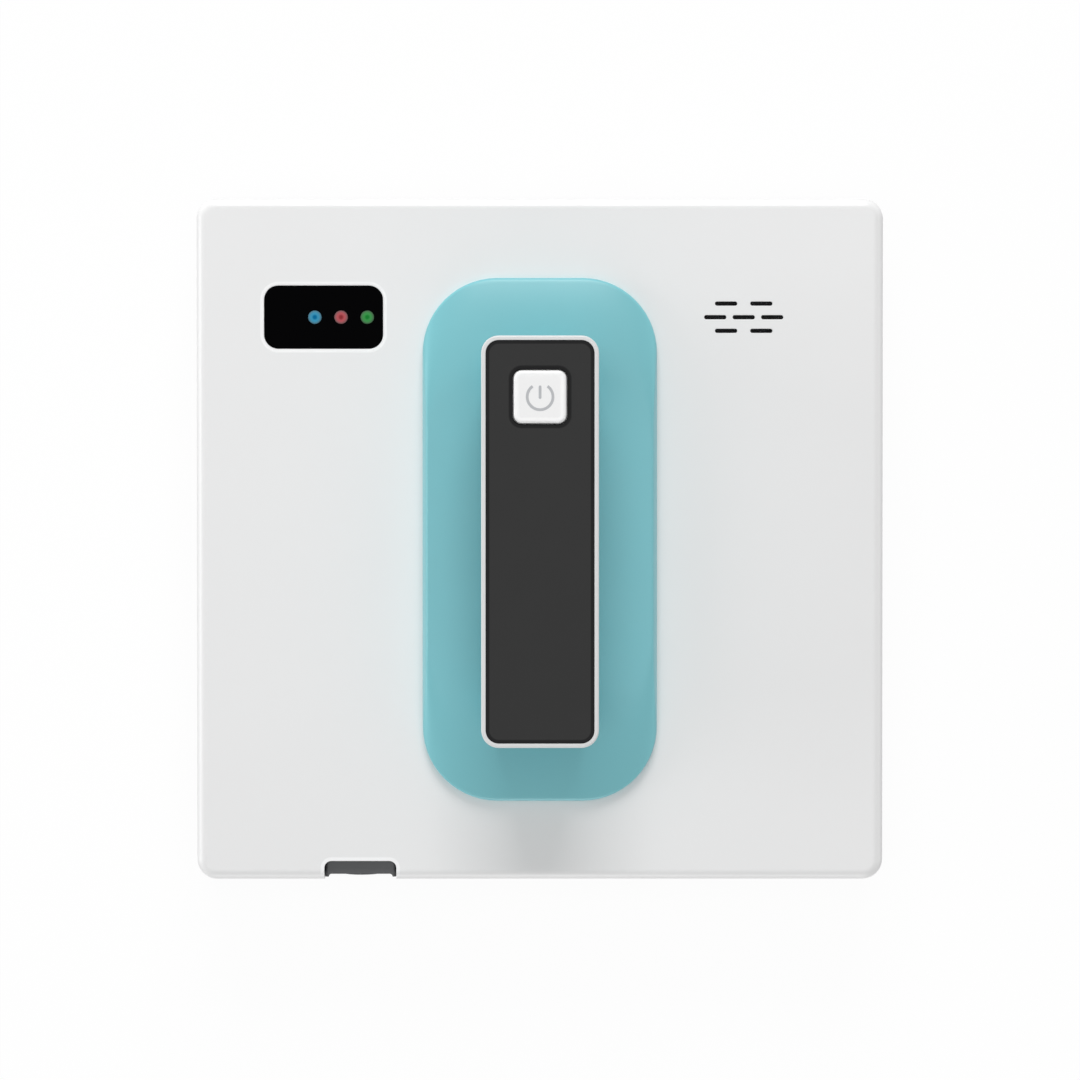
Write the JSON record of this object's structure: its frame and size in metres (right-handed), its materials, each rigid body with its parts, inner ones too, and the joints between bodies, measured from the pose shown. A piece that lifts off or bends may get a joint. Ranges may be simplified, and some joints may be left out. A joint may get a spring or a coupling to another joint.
{
  "type": "window cleaning robot",
  "caption": "Square window cleaning robot with a raised base, bridging carry handle, power button, status lights, speaker slots, belt tracks, suction fan and microfibre pad.",
  "frame": {"origin": "middle of the body's outline on the glass plane, under the pad and belts", "axes": "+Z away from the glass, +Y towards the indicator end, +X to the right of someone who faces the handle with +Y up"},
  "size_m": [0.24, 0.238, 0.0989],
  "materials": {
    "white_shell": "satin moulded",
    "teal_shell": "satin moulded",
    "dark_floor": "fine texture",
    "charcoal": "soft touch",
    "button_white": "satin moulded",
    "icon_grey": "printed",
    "black_gloss": "polished",
    "clear": "polished",
    "board_green": "solder mask",
    "board_parts": "moulded",
    "led": "clear resin",
    "mesh_black": "woven",
    "speaker_body": "moulded",
    "inlet_grey": "fine texture",
    "steel": "turned",
    "hook": "hook tape",
    "microfibre": "looped pile",
    "belt_rubber": "moulded ribs",
    "wheel_grey": "moulded",
    "pinion": "cut",
    "motor_case": "brushed",
    "fan_white": "moulded",
    "duct_grey": "moulded",
    "cell_wrap": "shrink wrap",
    "screw": "zinc plated",
    "probe_white": "moulded"
  },
  "bodies": {
    "robot": {"top_cover": "white_shell", "chassis": "dark_floor", "handle_base": "teal_shell", "handle_bridge": "teal_shell", "handle_cap": "white_shell", "handle_inlay": "charcoal", "tact_switch": "board_parts", "switch_board": "board_green", "indicator_window": "black_gloss", "light_pipes": "clear", "indicator_board": "board_green", "indicator_leds": "led", "speaker_mesh": "mesh_black", "speaker": "speaker_body", "inlet_housing": "inlet_grey", "inlet_pin": "steel", "hook_strips": "hook", "cleaning_pad": "microfibre", "left_track_belt": "belt_rubber", "right_track_belt": "belt_rubber", "left_track_frame": "dark_floor", "right_track_frame": "dark_floor", "left_gearmotor": "motor_case", "right_gearmotor": "motor_case", "intake_grille": "dark_floor", "volute_base": "duct_grey", "volute_cover": "duct_grey", "fan_motor": "motor_case", "battery_tray": "charcoal", "battery_cells": "cell_wrap", "main_board": "board_green", "board_parts": "board_parts", "spring_front_left": "steel", "spring_front_right": "steel", "spring_rear_left": "steel", "spring_rear_right": "steel", "probe_caps": "dark_floor", "probe_switches": "board_parts", "case_screws": "screw", "handle_screws": "screw", "inner_screws": "screw"},
    "button": {"power_button": "button_white", "power_icon": "icon_grey", "switch_plunger": "charcoal"},
    "left_drive": {"left_drive_wheel": "wheel_grey", "left_drive_axle": "steel"},
    "right_drive": {"right_drive_wheel": "wheel_grey", "right_drive_axle": "steel"},
    "left_idler": {"left_idler_wheel": "wheel_grey", "left_idler_axle": "steel"},
    "right_idler": {"right_idler_wheel": "wheel_grey", "right_idler_axle": "steel"},
    "left_motor_pinion": {"left_pinion": "pinion"},
    "right_motor_pinion": {"right_pinion": "pinion"},
    "impeller": {"fan_impeller": "fan_white", "fan_shaft": "steel"},
    "front_left_probe": {"probe_front_left": "probe_white"},
    "front_right_probe": {"probe_front_right": "probe_white"},
    "rear_left_probe": {"probe_rear_left": "probe_white"},
    "rear_right_probe": {"probe_rear_right": "probe_white"}
  },
  "joints": [
    {"name": "power_press", "type": "slide", "parent": "robot", "child": "button", "axis": [0, 0, -1], "range_m": [0, 0.0008], "stiffness_N_per_m": 1500, "springref_m": -0.0004},
    {"name": "left_drive_spin", "type": "hinge", "parent": "robot", "child": "left_drive", "pos_m": [-0.0613, 0.056, 0.01346], "axis": [1, 0, 0], "continuous": true},
    {"name": "left_idler_spin", "type": "hinge", "parent": "robot", "child": "left_idler", "pos_m": [-0.0613, -0.056, 0.01346], "axis": [1, 0, 0], "continuous": true},
    {"name": "left_pinion_spin", "type": "hinge", "parent": "robot", "child": "left_motor_pinion", "pos_m": [-0.0613, 0.06887, 0.02426], "axis": [1, 0, 0], "continuous": true},
    {"name": "right_drive_spin", "type": "hinge", "parent": "robot", "child": "right_drive", "pos_m": [0.0613, -0.056, 0.01346], "axis": [1, 0, 0], "continuous": true},
    {"name": "right_idler_spin", "type": "hinge", "parent": "robot", "child": "right_idler", "pos_m": [0.0613, 0.056, 0.01346], "axis": [1, 0, 0], "continuous": true},
    {"name": "right_pinion_spin", "type": "hinge", "parent": "robot", "child": "right_motor_pinion", "pos_m": [0.0613, -0.06887, 0.02426], "axis": [1, 0, 0], "continuous": true},
    {"name": "fan_spin", "type": "hinge", "parent": "robot", "child": "impeller", "pos_m": [0, 0, 0.02], "axis": [0, 0, 1], "continuous": true},
    {"name": "front_left_probe_slide", "type": "slide", "parent": "robot", "child": "front_left_probe", "axis": [0, 0, -1], "range_m": [0, 0.002], "stiffness_N_per_m": 60, "springref_m": 0.004, "deforming": ["spring_front_left"]},
    {"name": "front_right_probe_slide", "type": "slide", "parent": "robot", "child": "front_right_probe", "axis": [0, 0, -1], "range_m": [0, 0.002], "stiffness_N_per_m": 60, "springref_m": 0.004, "deforming": ["spring_front_right"]},
    {"name": "rear_left_probe_slide", "type": "slide", "parent": "robot", "child": "rear_left_probe", "axis": [0, 0, -1], "range_m": [0, 0.002], "stiffness_N_per_m": 60, "springref_m": 0.004, "deforming": ["spring_rear_left"]},
    {"name": "rear_right_probe_slide", "type": "slide", "parent": "robot", "child": "rear_right_probe", "axis": [0, 0, -1], "range_m": [0, 0.002], "stiffness_N_per_m": 60, "springref_m": 0.004, "deforming": ["spring_rear_right"]}
  ],
  "couplings": [
    {"joint": "left_idler_spin", "follows": "left_drive_spin", "ratio": 1},
    {"joint": "left_pinion_spin", "follows": "left_drive_spin", "ratio": -2},
    {"joint": "right_idler_spin", "follows": "right_drive_spin", "ratio": 1},
    {"joint": "right_pinion_spin", "follows": "right_drive_spin", "ratio": -2}
  ]
}
